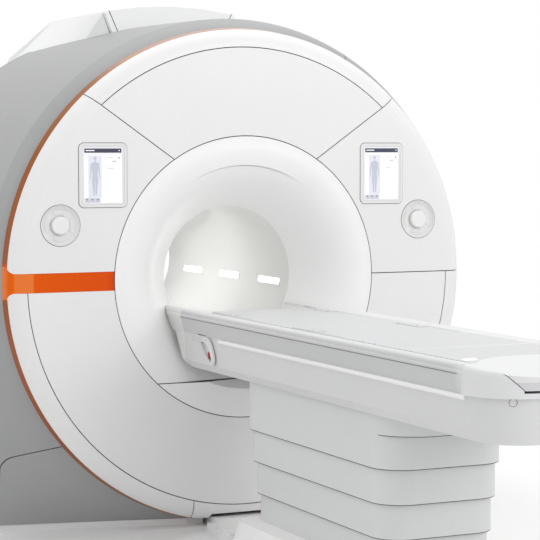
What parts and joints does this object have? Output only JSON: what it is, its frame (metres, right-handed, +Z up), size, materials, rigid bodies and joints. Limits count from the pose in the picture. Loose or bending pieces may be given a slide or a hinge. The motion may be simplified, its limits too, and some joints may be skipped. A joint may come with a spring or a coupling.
{
  "type": "mri scanner",
  "caption": "Ring-shaped whole-body scanner with a round bore, front displays, control knobs and a height-adjustable patient table with a sliding board.",
  "frame": {"origin": "on the floor, under the middle of the bounding box", "axes": "+Z up, +Y from the patient table into the bore, +X to the right as seen from the table"},
  "size_m": [2.247, 4.25, 2.275],
  "materials": {
    "cover_white": "satin gel coat",
    "accent_orange": "satin lacquer",
    "carrier_grey": "matte",
    "bore_white": "satin",
    "light_lens": "frosted",
    "housing_grey": "satin gel coat",
    "plinth_white": "satin",
    "bezel_grey": "fine texture",
    "screen_glass": "clear glossy front",
    "knob_white": "satin",
    "button_grey": "fine texture",
    "vessel_steel": "satin paint",
    "coil_metal": "machined",
    "coil_resin": "cast resin",
    "foot_steel": "satin paint",
    "cold_head_metal": "machined",
    "column_steel": "ground",
    "table_white": "satin gel coat",
    "body_grey": "satin gel coat",
    "board_grey": "satin",
    "lift_cover_grey": "satin paint"
  },
  "bodies": {
    "gantry": {"upper_front_panel": "cover_white", "top_border_cover": "cover_white", "left_front_panel": "cover_white", "right_front_panel": "cover_white", "lower_front_panel": "cover_white", "lower_left_border": "cover_white", "bottom_border": "cover_white", "lower_right_border": "cover_white", "funnel_upper": "cover_white", "funnel_lower": "cover_white", "turret_front": "cover_white", "turret_rear": "cover_white", "accent_band": "accent_orange", "rim_trim": "accent_orange", "front_cover_frame": "carrier_grey", "bore_liner": "bore_white", "bore_bridge": "bore_white", "bridge_nose": "bore_white", "bore_lights": "light_lens", "left_side_cover": "housing_grey", "right_side_cover": "housing_grey", "left_lower_cover": "housing_grey", "right_lower_cover": "housing_grey", "rear_cover": "housing_grey", "plinth": "plinth_white", "left_display_bezel": "bezel_grey", "right_display_bezel": "bezel_grey", "left_control_dish": "bezel_grey", "right_control_dish": "bezel_grey", "left_display_screen": "screen_glass", "right_display_screen": "screen_glass", "magnet_vessel": "vessel_steel", "magnet_cold_mass": "coil_metal", "gradient_coil": "coil_resin", "magnet_feet": "foot_steel", "lift_base": "foot_steel", "cold_head": "cold_head_metal", "table_base_cover": "body_grey", "lift_cover_4": "lift_cover_grey"},
    "table": {"table_tray": "table_white", "table_body": "body_grey", "slide_drive": "cold_head_metal", "lift_inner_column": "column_steel", "lift_cover_1": "lift_cover_grey"},
    "board": {"tabletop": "board_grey", "foot_panel": "table_white"},
    "lever": {"release_lever": "table_white"},
    "cover_ring_2": {"lift_cover_2": "lift_cover_grey"},
    "cover_ring_3": {"lift_cover_3": "lift_cover_grey"},
    "middle_column": {"lift_middle_column": "column_steel"},
    "left_dial": {"left_knob": "knob_white"},
    "right_dial": {"right_knob": "knob_white"},
    "left_key_right": {"left_button_right": "button_grey"},
    "left_key_up": {"left_button_up": "button_grey"},
    "left_key_left": {"left_button_left": "button_grey"},
    "left_key_down": {"left_button_down": "button_grey"},
    "right_key_right": {"right_button_right": "button_grey"},
    "right_key_up": {"right_button_up": "button_grey"},
    "right_key_left": {"right_button_left": "button_grey"},
    "right_key_down": {"right_button_down": "button_grey"}
  },
  "joints": [
    {"name": "table_lift", "type": "slide", "parent": "gantry", "child": "table", "axis": [0, 0, 1], "range_m": [-0.34, 0]},
    {"name": "tabletop_slide", "type": "slide", "parent": "table", "child": "board", "axis": [0, 1, 0], "range_m": [0, 1.75]},
    {"name": "cover_2_slide", "type": "slide", "parent": "gantry", "child": "cover_ring_2", "axis": [0, 0, 1], "range_m": [-0.2268, 0]},
    {"name": "cover_3_slide", "type": "slide", "parent": "gantry", "child": "cover_ring_3", "axis": [0, 0, 1], "range_m": [-0.102, 0]},
    {"name": "middle_column_slide", "type": "slide", "parent": "gantry", "child": "middle_column", "axis": [0, 0, 1], "range_m": [-0.17, 0]},
    {"name": "release_lever_swing", "type": "hinge", "parent": "table", "child": "lever", "pos_m": [-0.3, 0.111, 0.832], "axis": [1, 0, 0], "range_deg": [0, 25], "stiffness_Nm_per_rad": 1, "springref_deg": -11.46},
    {"name": "left_knob_turn", "type": "hinge", "parent": "gantry", "child": "left_dial", "pos_m": [-0.838, 0.39, 1.3], "axis": [0, 1, 0], "range_deg": [-40, 40], "stiffness_Nm_per_rad": 0.3},
    {"name": "left_button_right_press", "type": "slide", "parent": "gantry", "child": "left_key_right", "axis": [0, 1, 0], "range_m": [0, 0.0015], "stiffness_N_per_m": 800},
    {"name": "left_button_up_press", "type": "slide", "parent": "gantry", "child": "left_key_up", "axis": [0, 1, 0], "range_m": [0, 0.0015], "stiffness_N_per_m": 800},
    {"name": "left_button_left_press", "type": "slide", "parent": "gantry", "child": "left_key_left", "axis": [0, 1, 0], "range_m": [0, 0.0015], "stiffness_N_per_m": 800},
    {"name": "left_button_down_press", "type": "slide", "parent": "gantry", "child": "left_key_down", "axis": [0, 1, 0], "range_m": [0, 0.0015], "stiffness_N_per_m": 800},
    {"name": "right_knob_turn", "type": "hinge", "parent": "gantry", "child": "right_dial", "pos_m": [0.838, 0.39, 1.3], "axis": [0, 1, 0], "range_deg": [-40, 40], "stiffness_Nm_per_rad": 0.3},
    {"name": "right_button_right_press", "type": "slide", "parent": "gantry", "child": "right_key_right", "axis": [0, 1, 0], "range_m": [0, 0.0015], "stiffness_N_per_m": 800},
    {"name": "right_button_up_press", "type": "slide", "parent": "gantry", "child": "right_key_up", "axis": [0, 1, 0], "range_m": [0, 0.0015], "stiffness_N_per_m": 800},
    {"name": "right_button_left_press", "type": "slide", "parent": "gantry", "child": "right_key_left", "axis": [0, 1, 0], "range_m": [0, 0.0015], "stiffness_N_per_m": 800},
    {"name": "right_button_down_press", "type": "slide", "parent": "gantry", "child": "right_key_down", "axis": [0, 1, 0], "range_m": [0, 0.0015], "stiffness_N_per_m": 800}
  ],
  "couplings": [
    {"joint": "cover_2_slide", "follows": "table_lift", "ratio": 0.667},
    {"joint": "cover_3_slide", "follows": "table_lift", "ratio": 0.3},
    {"joint": "middle_column_slide", "follows": "table_lift", "ratio": 0.5}
  ]
}
